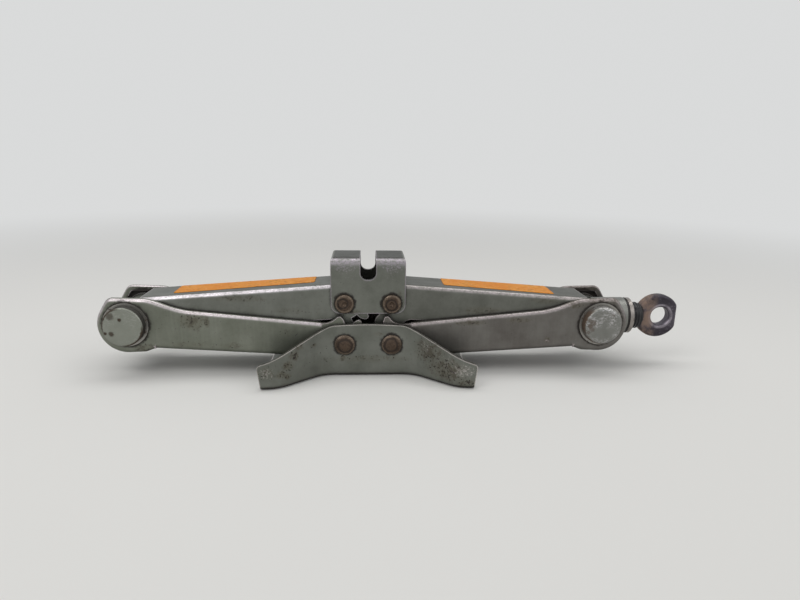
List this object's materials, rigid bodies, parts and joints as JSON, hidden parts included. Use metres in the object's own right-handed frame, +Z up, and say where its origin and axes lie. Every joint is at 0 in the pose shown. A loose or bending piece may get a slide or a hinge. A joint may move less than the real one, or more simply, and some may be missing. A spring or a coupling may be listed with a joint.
{
  "type": "scissor jack",
  "caption": "Folded scissor car jack: pressed-steel arms with meshing toothed ends between a flared base and a slotted saddle, raised by a lead screw with a handle eye.",
  "frame": {"origin": "middle of the base's underside, between the two base pins, on the floor", "axes": "+X along the lead screw towards the handle eye, +Y away from the viewer, +Z up"},
  "size_m": [0.4565, 0.111, 0.0914],
  "materials": {
    "pressed_steel": "satin, worn bright on the bends",
    "rivet_steel": "dull brown",
    "trunnion_steel": "satin, scratched",
    "screw_steel": "dark, greased",
    "washer_steel": "satin",
    "bearing_steel": "polished"
  },
  "bodies": {
    "base": {"base_bracket": "pressed_steel", "base_pin_left": "rivet_steel", "base_pin_right": "rivet_steel"},
    "lower_left": {"lower_left_arm": "pressed_steel"},
    "lower_right": {"lower_right_arm": "pressed_steel"},
    "upper_left": {"upper_left_arm": "pressed_steel"},
    "upper_right": {"upper_right_arm": "pressed_steel"},
    "nut": {"trunnion_nut": "trunnion_steel", "spacer_front_left": "washer_steel", "spacer_rear_left": "washer_steel", "head_washer_front_left": "washer_steel", "head_washer_rear_left": "washer_steel"},
    "block": {"trunnion_block": "trunnion_steel", "thrust_race_inner": "bearing_steel", "thrust_cage": "bearing_steel", "thrust_balls": "bearing_steel", "spacer_front_right": "washer_steel", "spacer_rear_right": "washer_steel", "head_washer_front_right": "washer_steel", "head_washer_rear_right": "washer_steel"},
    "saddle": {"saddle_bracket": "pressed_steel", "saddle_pin_left": "rivet_steel", "saddle_pin_right": "rivet_steel"},
    "screw": {"lead_screw": "screw_steel", "handle_eye": "screw_steel", "screw_stop": "screw_steel", "screw_keeper": "screw_steel", "thrust_race_outer": "bearing_steel", "thrust_washer": "washer_steel"}
  },
  "joints": [
    {"name": "lift", "type": "hinge", "parent": "base", "child": "lower_left", "pos_m": [-0.018, 0, 0.0256], "axis": [0, 1, 0], "range_deg": [0, 50.5]},
    {"name": "lower_right_pivot", "type": "hinge", "parent": "base", "child": "lower_right", "pos_m": [0.018, 0, 0.0256], "axis": [0, -1, 0], "range_deg": [0, 50.5]},
    {"name": "upper_left_pivot", "type": "hinge", "parent": "lower_left", "child": "upper_left", "pos_m": [-0.18127, 0, 0.0411], "axis": [0, -1, 0], "range_deg": [0, 101]},
    {"name": "upper_right_pivot", "type": "hinge", "parent": "lower_right", "child": "upper_right", "pos_m": [0.18127, 0, 0.0411], "axis": [0, 1, 0], "range_deg": [0, 101]},
    {"name": "nut_pivot", "type": "hinge", "parent": "lower_left", "child": "nut", "pos_m": [-0.18127, 0, 0.0411], "axis": [0, -1, 0], "range_deg": [0, 50.5]},
    {"name": "block_pivot", "type": "hinge", "parent": "lower_right", "child": "block", "pos_m": [0.18127, 0, 0.0411], "axis": [0, 1, 0], "range_deg": [0, 50.5]},
    {"name": "saddle_pivot", "type": "hinge", "parent": "upper_left", "child": "saddle", "pos_m": [-0.018, 0, 0.0566], "axis": [0, 1, 0], "range_deg": [0, 50.5]},
    {"name": "screw_turn", "type": "hinge", "parent": "block", "child": "screw", "pos_m": [0.18127, 0, 0.0411], "axis": [1, 0, 0], "continuous": true}
  ],
  "couplings": [
    {"joint": "lower_right_pivot", "follows": "lift", "ratio": 1},
    {"joint": "upper_left_pivot", "follows": "lift", "ratio": 2},
    {"joint": "upper_right_pivot", "follows": "lift", "ratio": 2},
    {"joint": "nut_pivot", "follows": "lift", "ratio": 1},
    {"joint": "block_pivot", "follows": "lift", "ratio": 1},
    {"joint": "saddle_pivot", "follows": "lift", "ratio": 1}
  ]
}
